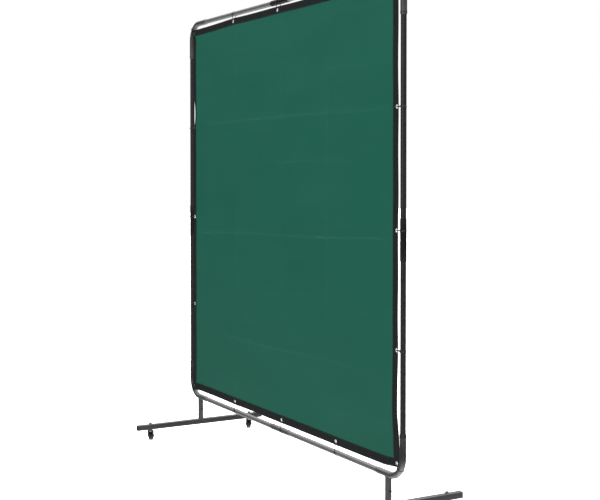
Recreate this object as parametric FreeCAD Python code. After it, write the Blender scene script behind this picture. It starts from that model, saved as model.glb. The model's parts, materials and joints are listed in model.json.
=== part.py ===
"""Welding curtain screen on casters: a knock-down tube frame, two feet and a tied-on curtain.

Millimetres. X runs across the screen, Y through it and +Z up. The origin is on the floor,
at the middle of the screen. The curtain faces -Y, which is called the front.
"""
import FreeCAD, Part
import math
import os

from FreeCAD import Vector

# --- Driving dimensions -------------------------------------------------------------------
FRAME_HALF_WIDTH = 946.0  # to the tube's centreline
FRAME_BOTTOM = 191.0  # height of the bottom tube's centreline
FRAME_TOP = 2068.0  # height of the top tube's centreline
TUBE_R = 11.0
TUBE_WALL = 1.2
SOCKET_R = 12.5  # outside of an elbow, a sleeve or a leg
SLIP = 0.1  # radial gap between a tube and the socket it slides into
BEND_R = 82.0  # of an elbow's centreline
ELBOW_REACH = 168.0  # from the frame's sharp corner to an elbow's end
TUBE_INSERT = 55.0  # how far a tube slides into an elbow
SLEEVE_LENGTH = 156.0
SIDE_SLEEVE_Z = 1075.0  # middle of the sleeves on the upright tubes
BUTT_GAP = 1.0  # between two tubes inside a sleeve
MARGIN = 5.0  # how far a cutting shape runs past what it cuts

FOOT_X = 850.0  # of a leg, its foot and its casters
FOOT_SIZE = 25.0  # square tube
FOOT_WALL = 1.5
FOOT_Z = 67.5
FOOT_HALF_LENGTH = 339.0  # without the end caps
CAP_HEAD = 2.0
CAP_PLUG = 16.0
CAP_GAP = 0.2  # between a cap's plug and the tube
LEG_GAP = 0.5  # between a leg's lower end and the foot
LEG_HORN_GAP = 3.0  # from the tips of a leg's shaped end up to the elbow's centreline
POST_WALL = 1.4
POST_TOP = 146.0
LEG_BOLT_Z = 129.0
LEG_BOLT_R = 3.0
LEG_BOLT_HEX = 10.0  # across flats
LEG_BOLT_HEAD = 4.0
LEG_BOLT_TIP = 2.0  # of a bolt past its nut
LEG_NUT_HEIGHT = 5.0

CURTAIN_HALF_WIDTH = 917.0
CURTAIN_BOTTOM = 223.0
CURTAIN_TOP = 2048.0
CURTAIN_Y = -6.0
CURTAIN_THICK = 0.6
HEM_WIDTH = 36.0
HEM_THICK = 1.4
CORNER_R = 42.0  # the curtain's corners keep clear of the elbows
GROMMET_INSET = 15.0
CORNER_GROMMET_INSET = 21.5
TOP_GROMMETS_X = (-459.0, -20.0, 440.0)
BOTTOM_GROMMETS_X = (-443.0, 17.0, 476.0)
LEFT_GROMMETS_Z = (657.0, 1098.0, 1548.0)
RIGHT_GROMMETS_Z = (665.0, 1108.0, 1564.0)
GROMMET_HOLE_R = 4.5
GROMMET_WALL = 1.0
GROMMET_FLANGE_R = 7.5
GROMMET_THICK = 2.6

TIE_WIDTH = 3.6
TIE_THICK = 1.2
TIE_EYE_R = 2.0  # inside of a tie's loop, where it passes through a grommet
TIE_HEAD = (5.4, 4.0, 6.0)  # along the tube, out from it, and round it

CASTER_Y = 271.5
CASTER_HEADINGS = {  # degrees, the way a wheel trails from its stem
    "front_left": 149.0,
    "back_left": 160.0,
    "front_right": 144.0,
    "back_right": 153.0,
}
CASTER_TRAIL = 15.0
WHEEL_R = 20.0
HUB_R = 14.0
HUB_WIDTH = 20.6
HUB_BOSS_R = 6.0
HUB_DRAFT = 1.0  # slope of the boss and of the rim, across their height
HUB_RIM = 2.0  # thickness of the rim under the tyre
HUB_WEB_HALF = 4.0
TYRE_WIDTH = 20.0
TYRE_LIP = 1.5  # bevel where the tyre meets the rim
TYRE_SHOULDER = (2.5, 3.5)  # bevel of the tread: down the side, and in from it
AXLE_R = 3.0
AXLE_FIT = 0.05  # radial gap between an axle and its fork
AXLE_RUN = 0.06  # radial running clearance of a wheel on its axle
AXLE_HALF = 14.6  # from the wheel's middle to under the axle's head
AXLE_HEAD_R = 5.0
AXLE_HEAD = 2.4
FORK_INSIDE = 22.4
FORK_PLATE = 2.2
FORK_CROWN_Z = 43.0  # underside of the crown
FORK_CROWN_R = 16.0
FORK_BACK = 10.0  # from the stem to the back edge of a fork leg
FORK_FOOT_R = 7.0  # the rounded end of a fork leg
RACE_R = (9.0, 14.0)  # inside and outside
RACE_TOP = 47.2
STEM_R = 4.0
STEM_RUN = 0.06  # radial running clearance of a fork on its stem
STEM_PLAY = 0.3  # end play of a fork above the stem's rivet
STEM_RIVET_R = 6.0
STEM_RIVET = 1.6
CUP_R = 15.5
CUP_BOTTOM = 47.5
CUP_TOP = 50.5
CUP_ROUND = 2.0  # radius of the cup's upper edge
COLLAR_HEX = 15.0  # across flats
STEM_TOP = 90.0
STEM_HOLE_R = 4.3
CASTER_NUT_HEX = 13.0
CASTER_NUT_HEIGHT = 6.5
WASHER_R = 8.0
WASHER_THICK = 1.6
THREAD_GAP = 0.05  # radial gap between a thread and its nut

SIDES = {"left": -1, "right": 1}
ENDS = {"front": -1, "back": 1}
X_AXIS = Vector(1, 0, 0)
Y_AXIS = Vector(0, 1, 0)
Z_AXIS = Vector(0, 0, 1)

ELBOW_LEG = ELBOW_REACH - BEND_R  # straight stretch of an elbow on each side of its bend
ELBOW_BORE = TUBE_R + SLIP
TUBE_END = ELBOW_REACH - TUBE_INSERT  # from the sharp corner to a tube's hidden end
FOOT_TOP = FOOT_Z + FOOT_SIZE / 2
FOOT_UNDERSIDE = FOOT_Z - FOOT_SIZE / 2


# --- Shapes that several pieces share ------------------------------------------------------
def disc(centre, normal, radius):
    """A flat round face."""
    return Part.Face(Part.Wire(Part.makeCircle(radius, centre, normal)))


def pipe(start, end, outer, inner):
    """A straight round pipe between two points."""
    return rod(start, end, outer).cut(rod(start, end, inner))


def rod(start, end, radius):
    """A solid round bar between two points."""
    run = end.sub(start)
    return Part.makeCylinder(radius, run.Length, start, run)


def slab(low, high):
    """A box between two corners."""
    size = high.sub(low)
    return Part.makeBox(size.x, size.y, size.z, low)


def hexagon(centre, direction, across_flats, height):
    """A hexagonal prism, such as a nut or a bolt's head."""
    reference = Z_AXIS if abs(direction.x) > abs(direction.z) else X_AXIS
    arm = direction.cross(reference).normalize().multiply(across_flats / math.sqrt(3))
    turns = [FreeCAD.Rotation(direction, 60 * i) for i in range(7)]
    outline = Part.makePolygon([centre.add(turn.multVec(arm)) for turn in turns])
    return Part.Face(outline).extrude(Vector(direction).multiply(height))


def belt_face(big, big_r, small, small_r):
    """The flat shape of a belt round two circles whose centres lie in one plane with normal X."""
    line = small.sub(big)
    reach = line.Length
    along = Vector(line).normalize()
    across = X_AXIS.cross(along)
    lean = math.asin((big_r - small_r) / reach)

    def on_circle(centre, radius, side):
        out = Vector(along).multiply(math.sin(lean))
        return centre.add(out.add(Vector(across).multiply(side * math.cos(lean))).multiply(radius))

    big_left, big_right = on_circle(big, big_r, 1), on_circle(big, big_r, -1)
    small_left, small_right = on_circle(small, small_r, 1), on_circle(small, small_r, -1)
    back = big.sub(Vector(along).multiply(big_r))
    tip = small.add(Vector(along).multiply(small_r))
    edges = [
        Part.Arc(big_left, back, big_right).toShape(),
        Part.LineSegment(big_right, small_right).toShape(),
        Part.Arc(small_right, tip, small_left).toShape(),
        Part.LineSegment(small_left, big_left).toShape(),
    ]
    return Part.Face(Part.Wire(edges))


# --- The frame ------------------------------------------------------------------------------
def frame_corner(side, level):
    """A sharp corner of the frame's centreline, and the signs that point into the frame."""
    height = FRAME_TOP if level == "top" else FRAME_BOTTOM
    up = -1 if level == "top" else 1
    return Vector(side * FRAME_HALF_WIDTH, 0, height), -side, up


def bent_rod(side, level, radius):
    """A solid bar along an elbow's centreline."""
    corner, inward, up = frame_corner(side, level)
    flat, upright = Vector(inward, 0, 0), Vector(0, 0, up)
    centre = corner.add(flat.add(upright).multiply(BEND_R))
    flat_start, flat_end = (corner.add(Vector(flat).multiply(d)) for d in (BEND_R, ELBOW_REACH))
    tall_start, tall_end = (corner.add(Vector(upright).multiply(d)) for d in (BEND_R, ELBOW_REACH))
    turn = Vector(0, inward * up, 0)
    bend = disc(flat_start, flat, radius).revolve(centre, turn, 90)
    return bend.fuse([rod(flat_start, flat_end, radius), rod(tall_start, tall_end, radius)])


def elbow(side, level):
    """A bent pipe with a straight socket at each end."""
    return bent_rod(side, level, SOCKET_R).cut(bent_rod(side, level, ELBOW_BORE)).removeSplitter()


def frame_tube(start, end):
    return pipe(start, end, TUBE_R, TUBE_R - TUBE_WALL)


def sleeve(middle, direction):
    half = Vector(direction).multiply(SLEEVE_LENGTH / 2)
    return pipe(middle.sub(half), middle.add(half), SOCKET_R, ELBOW_BORE)


def frame_pieces():
    pieces = {}
    for side_name, side in SIDES.items():
        for level in ("top", "bottom"):
            pieces[f"elbow_{level}_{side_name}"] = elbow(side, level)
        for level, height in (("top", FRAME_TOP), ("bottom", FRAME_BOTTOM)):
            middle = Vector(side * BUTT_GAP / 2, 0, height)
            end = Vector(side * (FRAME_HALF_WIDTH - TUBE_END), 0, height)
            pieces[f"{level}_tube_{side_name}"] = frame_tube(middle, end)
        x = side * FRAME_HALF_WIDTH
        lower = (FRAME_BOTTOM + TUBE_END, SIDE_SLEEVE_Z - BUTT_GAP / 2)
        upper = (SIDE_SLEEVE_Z + BUTT_GAP / 2, FRAME_TOP - TUBE_END)
        pieces[f"{side_name}_tube_lower"] = frame_tube(*(Vector(x, 0, z) for z in lower))
        pieces[f"{side_name}_tube_upper"] = frame_tube(*(Vector(x, 0, z) for z in upper))
        pieces[f"sleeve_{side_name}"] = sleeve(Vector(x, 0, SIDE_SLEEVE_Z), Z_AXIS)
    pieces["sleeve_top"] = sleeve(Vector(0, 0, FRAME_TOP), X_AXIS)
    pieces["sleeve_bottom"] = sleeve(Vector(0, 0, FRAME_BOTTOM), X_AXIS)
    return pieces


# --- Legs and feet --------------------------------------------------------------------------
def leg(side):
    """A pipe welded under the bottom elbow, with its top end cut to fit round the elbow."""
    x = side * FOOT_X
    foot_end = Vector(x, 0, FOOT_TOP + LEG_GAP)
    elbow_end = Vector(x, 0, FRAME_BOTTOM - LEG_HORN_GAP)
    reach = SOCKET_R + MARGIN
    socket = rod(Vector(x - reach, 0, FRAME_BOTTOM), Vector(x + reach, 0, FRAME_BOTTOM), SOCKET_R)
    return pipe(foot_end, elbow_end, SOCKET_R, ELBOW_BORE).cut(socket).cut(leg_bolt_hole(side))


def leg_bolt_hole(side):
    reach = SOCKET_R + LEG_NUT_HEIGHT + MARGIN
    ends = [Vector(side * FOOT_X + run, 0, LEG_BOLT_Z) for run in (-reach, reach)]
    return rod(*ends, LEG_BOLT_R + SLIP)


def post(side):
    """The short pipe on the foot that the leg slides over."""
    x = side * FOOT_X
    tube = pipe(Vector(x, 0, FOOT_TOP), Vector(x, 0, POST_TOP), TUBE_R, TUBE_R - POST_WALL)
    return tube.cut(leg_bolt_hole(side))


def leg_bolt(side):
    outward = Vector(side, 0, 0)
    tip = SOCKET_R + LEG_NUT_HEIGHT + LEG_BOLT_TIP
    shank_start = Vector(side * (FOOT_X - tip), 0, LEG_BOLT_Z)
    seat = Vector(side * (FOOT_X + SOCKET_R), 0, LEG_BOLT_Z)
    shank = rod(shank_start, seat, LEG_BOLT_R)
    return shank.fuse(hexagon(seat, outward, LEG_BOLT_HEX, LEG_BOLT_HEAD))


def leg_nut(side):
    seat = Vector(side * (FOOT_X - SOCKET_R), 0, LEG_BOLT_Z)
    nut = hexagon(seat, Vector(-side, 0, 0), LEG_BOLT_HEX, LEG_NUT_HEIGHT)
    return nut.cut(leg_bolt_hole(side))


def foot_tube(side):
    """A square tube with a hole through it for each caster's stem."""
    x = side * FOOT_X
    half = FOOT_SIZE / 2
    bore = half - FOOT_WALL
    outside = slab(
        Vector(x - half, -FOOT_HALF_LENGTH, FOOT_UNDERSIDE),
        Vector(x + half, FOOT_HALF_LENGTH, FOOT_TOP),
    )
    inside = slab(
        Vector(x - bore, -FOOT_HALF_LENGTH - MARGIN, FOOT_Z - bore),
        Vector(x + bore, FOOT_HALF_LENGTH + MARGIN, FOOT_Z + bore),
    )
    tube = outside.cut(inside)
    for end in ENDS.values():
        y = end * CASTER_Y
        tube = tube.cut(rod(Vector(x, y, 0), Vector(x, y, FOOT_TOP + MARGIN), STEM_HOLE_R))
    return tube


def foot_cap(side, end):
    """A moulded plug with a square head, which closes one end of a foot."""
    x = side * FOOT_X
    half = FOOT_SIZE / 2
    plug_half = half - FOOT_WALL - CAP_GAP
    seat = end * FOOT_HALF_LENGTH
    face = seat + end * CAP_HEAD
    tip = seat - end * CAP_PLUG
    head = slab(
        Vector(x - half, min(seat, face), FOOT_UNDERSIDE),
        Vector(x + half, max(seat, face), FOOT_TOP),
    )
    plug = slab(
        Vector(x - plug_half, min(seat, tip), FOOT_Z - plug_half),
        Vector(x + plug_half, max(seat, tip), FOOT_Z + plug_half),
    )
    return head.fuse(plug)


def foot_pieces():
    pieces = {}
    for side_name, side in SIDES.items():
        pieces[f"leg_{side_name}"] = leg(side)
        pieces[f"post_{side_name}"] = post(side)
        pieces[f"foot_tube_{side_name}"] = foot_tube(side)
        for end_name, end in ENDS.items():
            pieces[f"foot_cap_{end_name}_{side_name}"] = foot_cap(side, end)
    pieces["leg_bolts"] = Part.makeCompound([leg_bolt(side) for side in SIDES.values()])
    pieces["leg_nuts"] = Part.makeCompound([leg_nut(side) for side in SIDES.values()])
    return pieces


# --- The curtain ------------------------------------------------------------------------------
def grommet_spots():
    """The middle of each grommet, as (x, z)."""
    side_x = CURTAIN_HALF_WIDTH - GROMMET_INSET
    corner_x = CURTAIN_HALF_WIDTH - CORNER_GROMMET_INSET
    low_z = CURTAIN_BOTTOM + CORNER_GROMMET_INSET
    high_z = CURTAIN_TOP - CORNER_GROMMET_INSET
    spots = [(x, CURTAIN_TOP - GROMMET_INSET) for x in TOP_GROMMETS_X]
    spots += [(x, CURTAIN_BOTTOM + GROMMET_INSET) for x in BOTTOM_GROMMETS_X]
    spots += [(-side_x, z) for z in LEFT_GROMMETS_Z]
    spots += [(side_x, z) for z in RIGHT_GROMMETS_Z]
    spots += [(side * corner_x, z) for side in SIDES.values() for z in (low_z, high_z)]
    return spots


def curtain_slab(inset, thickness):
    """A box as large as the curtain less an inset all round."""
    half = CURTAIN_HALF_WIDTH - inset
    low = Vector(-half, CURTAIN_Y - thickness / 2, CURTAIN_BOTTOM + inset)
    high = Vector(half, CURTAIN_Y + thickness / 2, CURTAIN_TOP - inset)
    return slab(low, high)


def hem_ring():
    """The whole border, with rounded corners and the grommets' holes."""
    outline = curtain_slab(0, HEM_THICK)
    corners = [e for e in outline.Edges if abs(e.Vertexes[0].Y - e.Vertexes[-1].Y) > HEM_THICK / 2]
    ring = outline.makeFillet(CORNER_R, corners).cut(curtain_slab(HEM_WIDTH, HEM_THICK + MARGIN))
    for x, z in grommet_spots():
        front, back = Vector(x, CURTAIN_Y - MARGIN, z), Vector(x, CURTAIN_Y + MARGIN, z)
        ring = ring.cut(rod(front, back, GROMMET_HOLE_R + GROMMET_WALL))
    return ring


def grommet(x, z):
    """A pressed eyelet: a barrel through the hem with a flange on each face."""
    front = Vector(x, CURTAIN_Y - GROMMET_THICK / 2, z)
    back = Vector(x, CURTAIN_Y + GROMMET_THICK / 2, z)
    lip = Vector(0, (GROMMET_THICK - HEM_THICK) / 2, 0)
    barrel = pipe(front, back, GROMMET_HOLE_R + GROMMET_WALL, GROMMET_HOLE_R)
    front_flange = pipe(front, front.add(lip), GROMMET_FLANGE_R, GROMMET_HOLE_R)
    back_flange = pipe(back.sub(lip), back, GROMMET_FLANGE_R, GROMMET_HOLE_R)
    return barrel.fuse([front_flange, back_flange]).removeSplitter()


def tie_at_origin(reach, tube_r):
    """A tie round a tube along X at the origin, with its eye at (0, CURTAIN_Y, reach)."""
    tube = Vector(-TIE_WIDTH / 2, 0, 0)
    eye = Vector(-TIE_WIDTH / 2, CURTAIN_Y, reach)
    width = Vector(TIE_WIDTH, 0, 0)
    outside = belt_face(tube, tube_r + SLIP + TIE_THICK, eye, TIE_EYE_R + TIE_THICK).extrude(width)
    inside = belt_face(tube, tube_r + SLIP, eye, TIE_EYE_R).extrude(width)
    long, out, round_it = TIE_HEAD
    front = -tube_r - SLIP - TIE_THICK / 2
    head = slab(Vector(-long / 2, front - out, -round_it / 2), Vector(long / 2, front, round_it / 2))
    return outside.cut(inside).fuse(head)


def tie_for(x, z):
    """The tie that goes from the grommet at (x, z) to the nearest tube, sleeve or elbow."""
    bend_x = FRAME_HALF_WIDTH - BEND_R
    side = 1 if x > 0 else -1
    low_bend, high_bend = FRAME_BOTTOM + BEND_R, FRAME_TOP - BEND_R
    if abs(x) > bend_x and not low_bend < z < high_bend:
        centre = Vector(side * bend_x, 0, low_bend if z < low_bend else high_bend)
        out = Vector(x, 0, z).sub(centre)
        reach = BEND_R - out.Length
        out.normalize()
        anchor = centre.add(Vector(out).multiply(BEND_R))
        over_socket = True
    elif abs(x) > bend_x:
        out = Vector(side, 0, 0)
        anchor = Vector(side * FRAME_HALF_WIDTH, 0, z)
        reach = FRAME_HALF_WIDTH - abs(x)
        over_socket = abs(z - SIDE_SLEEVE_Z) < SLEEVE_LENGTH / 2
    else:
        top = z > (low_bend + high_bend) / 2
        out = Vector(0, 0, 1 if top else -1)
        anchor = Vector(x, 0, FRAME_TOP if top else FRAME_BOTTOM)
        reach = abs(anchor.z - z)
        over_socket = abs(x) < SLEEVE_LENGTH / 2
    tie = tie_at_origin(reach, SOCKET_R if over_socket else TUBE_R)
    tilt = math.degrees(math.atan2(-out.x, -out.z))
    tie.rotate(Vector(0, 0, 0), Y_AXIS, tilt)
    tie.translate(anchor)
    return tie


def curtain_pieces():
    ring = hem_ring()
    far = CURTAIN_HALF_WIDTH + MARGIN
    low_seam = CURTAIN_BOTTOM + HEM_WIDTH
    high_seam = CURTAIN_TOP - HEM_WIDTH
    regions = {
        "hem_top": (-far, high_seam, far, CURTAIN_TOP + MARGIN),
        "hem_bottom": (-far, CURTAIN_BOTTOM - MARGIN, far, low_seam),
        "hem_left": (-far, low_seam, 0, high_seam),
        "hem_right": (0, low_seam, far, high_seam),
    }
    pieces = {"curtain_sheet": curtain_slab(HEM_WIDTH, CURTAIN_THICK)}
    for name, (x0, z0, x1, z1) in regions.items():
        box = slab(Vector(x0, CURTAIN_Y - MARGIN, z0), Vector(x1, CURTAIN_Y + MARGIN, z1))
        pieces[name] = ring.common(box)
    pieces["grommets"] = Part.makeCompound([grommet(x, z) for x, z in grommet_spots()])
    pieces["curtain_ties"] = Part.makeCompound([tie_for(x, z) for x, z in grommet_spots()])
    return pieces


# --- The casters, each built with its stem at the origin and its wheel trailing along +X -----
def caster_stem():
    """The fixed stud, with the upper ball cup and a hexagonal collar under the foot."""
    rivet_bottom = FORK_CROWN_Z - STEM_PLAY - STEM_RIVET
    stud = rod(Vector(0, 0, rivet_bottom), Vector(0, 0, STEM_TOP), STEM_R)
    rivet = rod(Vector(0, 0, rivet_bottom), Vector(0, 0, rivet_bottom + STEM_RIVET), STEM_RIVET_R)
    cup = rod(Vector(0, 0, CUP_BOTTOM), Vector(0, 0, CUP_TOP), CUP_R)
    rim = [e for e in cup.Edges if e.Closed and e.Vertexes[0].Z > (CUP_BOTTOM + CUP_TOP) / 2]
    cup = cup.makeFillet(CUP_ROUND, rim)
    collar = hexagon(Vector(0, 0, CUP_TOP), Z_AXIS, COLLAR_HEX, FOOT_UNDERSIDE - CUP_TOP)
    return stud.fuse([rivet, cup, collar])


def fork_leg(side):
    """One pressed leg of the fork, down to a round end about the axle."""
    inner = side * FORK_INSIDE / 2
    thickness = Vector(0, side * FORK_PLATE, 0)
    foot = Vector(CASTER_TRAIL, inner, WHEEL_R)
    top_z = FORK_CROWN_Z + FORK_PLATE
    outline = [
        Vector(-FORK_BACK, inner, top_z),
        Vector(FORK_CROWN_R, inner, top_z),
        Vector(CASTER_TRAIL + FORK_FOOT_R, inner, WHEEL_R),
        Vector(CASTER_TRAIL - FORK_FOOT_R, inner, WHEEL_R),
    ]
    plate = Part.Face(Part.makePolygon(outline + outline[:1])).extrude(thickness)
    round_end = rod(foot, foot.add(thickness), FORK_FOOT_R)
    hole = rod(foot.sub(thickness), foot.add(thickness).add(thickness), AXLE_R + AXLE_FIT)
    return plate.fuse(round_end).cut(hole)


def caster_fork():
    """A pressed crown with a raised ball race and two legs."""
    crown_top = FORK_CROWN_Z + FORK_PLATE
    half = FORK_INSIDE / 2 + FORK_PLATE
    crown = rod(Vector(0, 0, FORK_CROWN_Z), Vector(0, 0, crown_top), FORK_CROWN_R)
    bridge = slab(Vector(-FORK_BACK, -half, FORK_CROWN_Z), Vector(FORK_CROWN_R, half, crown_top))
    race = pipe(Vector(0, 0, crown_top), Vector(0, 0, RACE_TOP), RACE_R[1], RACE_R[0])
    bore_start, bore_end = Vector(0, 0, FORK_CROWN_Z - MARGIN), Vector(0, 0, RACE_TOP + MARGIN)
    bore = rod(bore_start, bore_end, STEM_R + STEM_RUN)
    body = crown.fuse([bridge, race, fork_leg(1), fork_leg(-1)])
    return body.removeSplitter().cut(bore)


def caster_axle():
    """A plain pin with a head on each end."""
    def at(y):
        return Vector(CASTER_TRAIL, y, WHEEL_R)

    pin = rod(at(-AXLE_HALF), at(AXLE_HALF), AXLE_R)
    heads = [rod(at(side * AXLE_HALF), at(side * (AXLE_HALF + AXLE_HEAD)), AXLE_HEAD_R) for side in (-1, 1)]
    return pin.fuse(heads)


def wheel_profile(points):
    """A solid of revolution about the axle, from (radius, offset) points."""
    loop = [Vector(CASTER_TRAIL, offset, WHEEL_R + radius) for radius, offset in points]
    face = Part.Face(Part.makePolygon(loop + loop[:1]))
    return face.revolve(Vector(CASTER_TRAIL, 0, WHEEL_R), Y_AXIS, 360)


def caster_wheel():
    """The wheel's moulded centre, with a boss about the axle and a dished web."""
    bore = AXLE_R + AXLE_RUN
    half = HUB_WIDTH / 2
    rim = TYRE_WIDTH / 2 - TYRE_LIP
    one_side = [
        (bore, half),
        (HUB_BOSS_R, half),
        (HUB_BOSS_R + HUB_DRAFT, HUB_WEB_HALF),
        (HUB_R - HUB_RIM - HUB_DRAFT, HUB_WEB_HALF),
        (HUB_R - HUB_RIM, rim),
        (HUB_R, rim),
    ]
    other_side = [(radius, -offset) for radius, offset in reversed(one_side)]
    return wheel_profile(one_side + other_side)


def caster_tyre():
    """The tread, with bevelled shoulders."""
    half = TYRE_WIDTH / 2
    down, inward = TYRE_SHOULDER
    one_side = [
        (HUB_R, half - TYRE_LIP),
        (HUB_R + TYRE_LIP, half),
        (WHEEL_R - down, half),
        (WHEEL_R, half - inward),
    ]
    other_side = [(radius, -offset) for radius, offset in reversed(one_side)]
    return wheel_profile(one_side + other_side)


def caster_nut():
    seat = FOOT_TOP + WASHER_THICK
    nut = hexagon(Vector(0, 0, seat), Z_AXIS, CASTER_NUT_HEX, CASTER_NUT_HEIGHT)
    hole_start, hole_end = Vector(0, 0, seat - MARGIN), Vector(0, 0, STEM_TOP + MARGIN)
    return nut.cut(rod(hole_start, hole_end, STEM_R + THREAD_GAP))


def caster_washer():
    return pipe(Vector(0, 0, FOOT_TOP), Vector(0, 0, FOOT_TOP + WASHER_THICK), WASHER_R, STEM_R + SLIP)


def caster_pieces():
    makers = {
        "caster_stem": caster_stem,
        "caster_fork": caster_fork,
        "caster_axle": caster_axle,
        "caster_wheel": caster_wheel,
        "caster_tyre": caster_tyre,
    }
    pieces = {}
    nuts, washers = [], []
    for end_name, end in ENDS.items():
        for side_name, side in SIDES.items():
            place = f"{end_name}_{side_name}"
            spot = Vector(side * FOOT_X, end * CASTER_Y, 0)
            turn = FreeCAD.Rotation(Z_AXIS, CASTER_HEADINGS[place])
            for name, maker in makers.items():
                piece = maker()
                piece.Placement = FreeCAD.Placement(spot, turn).multiply(piece.Placement)
                pieces[f"{name}_{place}"] = piece
            for group, maker in ((nuts, caster_nut), (washers, caster_washer)):
                fastener = maker()
                fastener.Placement = FreeCAD.Placement(spot, turn).multiply(fastener.Placement)
                group.append(fastener)
    pieces["caster_nuts"] = Part.makeCompound(nuts)
    pieces["caster_washers"] = Part.makeCompound(washers)
    return pieces


def main():
    os.makedirs("parts", exist_ok=True)
    pieces = {}
    pieces.update(frame_pieces())
    pieces.update(foot_pieces())
    pieces.update(curtain_pieces())
    pieces.update(caster_pieces())
    for name, shape in pieces.items():
        if not shape.isValid():
            raise ValueError(f"{name} isn't a valid shape")
        shape.exportStep(f"parts/{name}.step")
    print(len(pieces), "pieces")


main()
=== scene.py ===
"""Looks of the welding curtain screen: the tied vinyl sheet, the powder-coated frame and the casters.

Metres. X runs across the screen, Y through it, +Z up. The curtain's front faces -Y.
"""

import json
import math
import random

import bmesh
import bpy
import numpy as np
from mathutils import Matrix, Vector


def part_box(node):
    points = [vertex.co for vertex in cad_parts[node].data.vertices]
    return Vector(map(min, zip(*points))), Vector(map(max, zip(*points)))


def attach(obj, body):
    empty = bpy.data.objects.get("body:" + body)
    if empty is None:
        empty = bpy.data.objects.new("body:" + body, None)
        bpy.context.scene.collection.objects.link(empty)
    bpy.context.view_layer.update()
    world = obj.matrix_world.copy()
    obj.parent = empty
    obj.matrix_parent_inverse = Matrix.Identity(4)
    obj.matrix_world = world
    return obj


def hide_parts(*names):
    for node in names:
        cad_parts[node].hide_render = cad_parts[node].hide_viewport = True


MM = 0.001

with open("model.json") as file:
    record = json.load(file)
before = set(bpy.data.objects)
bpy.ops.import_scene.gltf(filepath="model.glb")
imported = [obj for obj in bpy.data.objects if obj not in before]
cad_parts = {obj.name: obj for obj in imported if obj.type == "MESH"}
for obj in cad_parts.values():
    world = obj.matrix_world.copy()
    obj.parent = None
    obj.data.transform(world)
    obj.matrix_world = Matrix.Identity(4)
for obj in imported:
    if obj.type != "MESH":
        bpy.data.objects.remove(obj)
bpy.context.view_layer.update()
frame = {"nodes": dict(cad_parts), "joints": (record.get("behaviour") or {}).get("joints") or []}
nodes = frame["nodes"]
joints = {joint["name"]: joint for joint in frame["joints"]}

FRAME_BODY = "frame"
SIDES = {"left": -1, "right": 1}
ENDS = ("front", "back")
PLACES = [f"{end}_{side}" for end in ENDS for side in SIDES]


def middle(name, axis):
    """The middle of a CAD node's box along one axis, from 0 for X to 2 for Z."""
    low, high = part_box(name)
    return (low[axis] + high[axis]) / 2


FRAME_X = middle("right_tube_lower", 0)
FRAME_LOW = middle("bottom_tube_left", 2)
FRAME_HIGH = middle("top_tube_left", 2)


# --- Camera, light and floor ---------------------------------------------------------------
CAMERA_PLACE = (4.4134, -2.3802, 1.3241)
CAMERA_TURN = (math.radians(88.793), 0.0, math.radians(60.693))
CAMERA_LENS = 68.7  # mm
SENSOR_WIDTH = 36.0  # mm
CAMERA_SHIFT = -0.09  # a shifted lens, which keeps the uprights almost parallel
FLOOR_Z = -0.2 * MM  # just under the wheels


def add_object(name, data):
    made = bpy.data.objects.new(name, data)
    bpy.context.scene.collection.objects.link(made)
    return made


def make_camera():
    data = bpy.data.cameras.new("camera")
    data.lens = CAMERA_LENS
    data.sensor_width = SENSOR_WIDTH
    data.shift_y = CAMERA_SHIFT
    data.clip_end = 200.0
    camera = add_object("camera", data)
    camera.location = CAMERA_PLACE
    camera.rotation_euler = CAMERA_TURN
    bpy.context.scene.camera = camera


def area_light(name, place, target, size, power):
    data = bpy.data.lights.new(name, "AREA")
    data.shape = "RECTANGLE"
    data.size, data.size_y = size
    data.energy = power
    light = add_object(name, data)
    light.location = place
    aim = Vector(target) - Vector(place)
    light.rotation_euler = aim.to_track_quat("-Z", "Y").to_euler()


def make_world(seen, horizon, zenith):
    """A world that the camera sees as white, and that lights the object mostly from above and below."""
    world = bpy.data.worlds.new("studio")
    bpy.context.scene.world = world
    world.use_nodes = True
    tree = world.node_tree
    background = tree.nodes["Background"]
    background.inputs["Color"].default_value = (1, 1, 1, 1)
    axes = tree.nodes.new("ShaderNodeSeparateXYZ")
    tree.links.new(tree.nodes.new("ShaderNodeTexCoord").outputs["Generated"], axes.inputs["Vector"])
    square = tree.nodes.new("ShaderNodeMath")
    square.operation = "MULTIPLY"
    for i in range(2):
        tree.links.new(axes.outputs["Z"], square.inputs[i])
    lit = tree.nodes.new("ShaderNodeMapRange")
    lit.inputs["To Min"].default_value = horizon
    lit.inputs["To Max"].default_value = zenith
    tree.links.new(square.outputs["Value"], lit.inputs["Value"])
    strength = tree.nodes.new("ShaderNodeMapRange")
    tree.links.new(lit.outputs["Result"], strength.inputs["To Min"])
    strength.inputs["To Max"].default_value = seen
    path = tree.nodes.new("ShaderNodeLightPath")
    tree.links.new(path.outputs["Is Camera Ray"], strength.inputs["Value"])
    tree.links.new(strength.outputs["Result"], background.inputs["Strength"])


def make_floor(size, glow):
    """A large pale floor, which glows a little so that it stays pale in the distance."""
    bm = bmesh.new()
    bmesh.ops.create_grid(bm, x_segments=8, y_segments=8, size=size / 2)
    mesh = bpy.data.meshes.new("floor")
    bm.to_mesh(mesh)
    bm.free()
    floor = add_object("floor", mesh)
    floor.location.z = FLOOR_Z
    material = bpy.data.materials.new("floor")
    material.use_nodes = True
    shader = material.node_tree.nodes["Principled BSDF"]
    shader.inputs["Base Color"].default_value = (0.86, 0.86, 0.86, 1)
    shader.inputs["Roughness"].default_value = 0.9
    shader.inputs["Specular IOR Level"].default_value = 0.1
    shader.inputs["Emission Color"].default_value = (1, 1, 1, 1)
    shader.inputs["Emission Strength"].default_value = glow
    mesh.materials.append(material)
    floor.visible_glossy = False
    floor.visible_diffuse = False
    floor.visible_shadow = False


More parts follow.
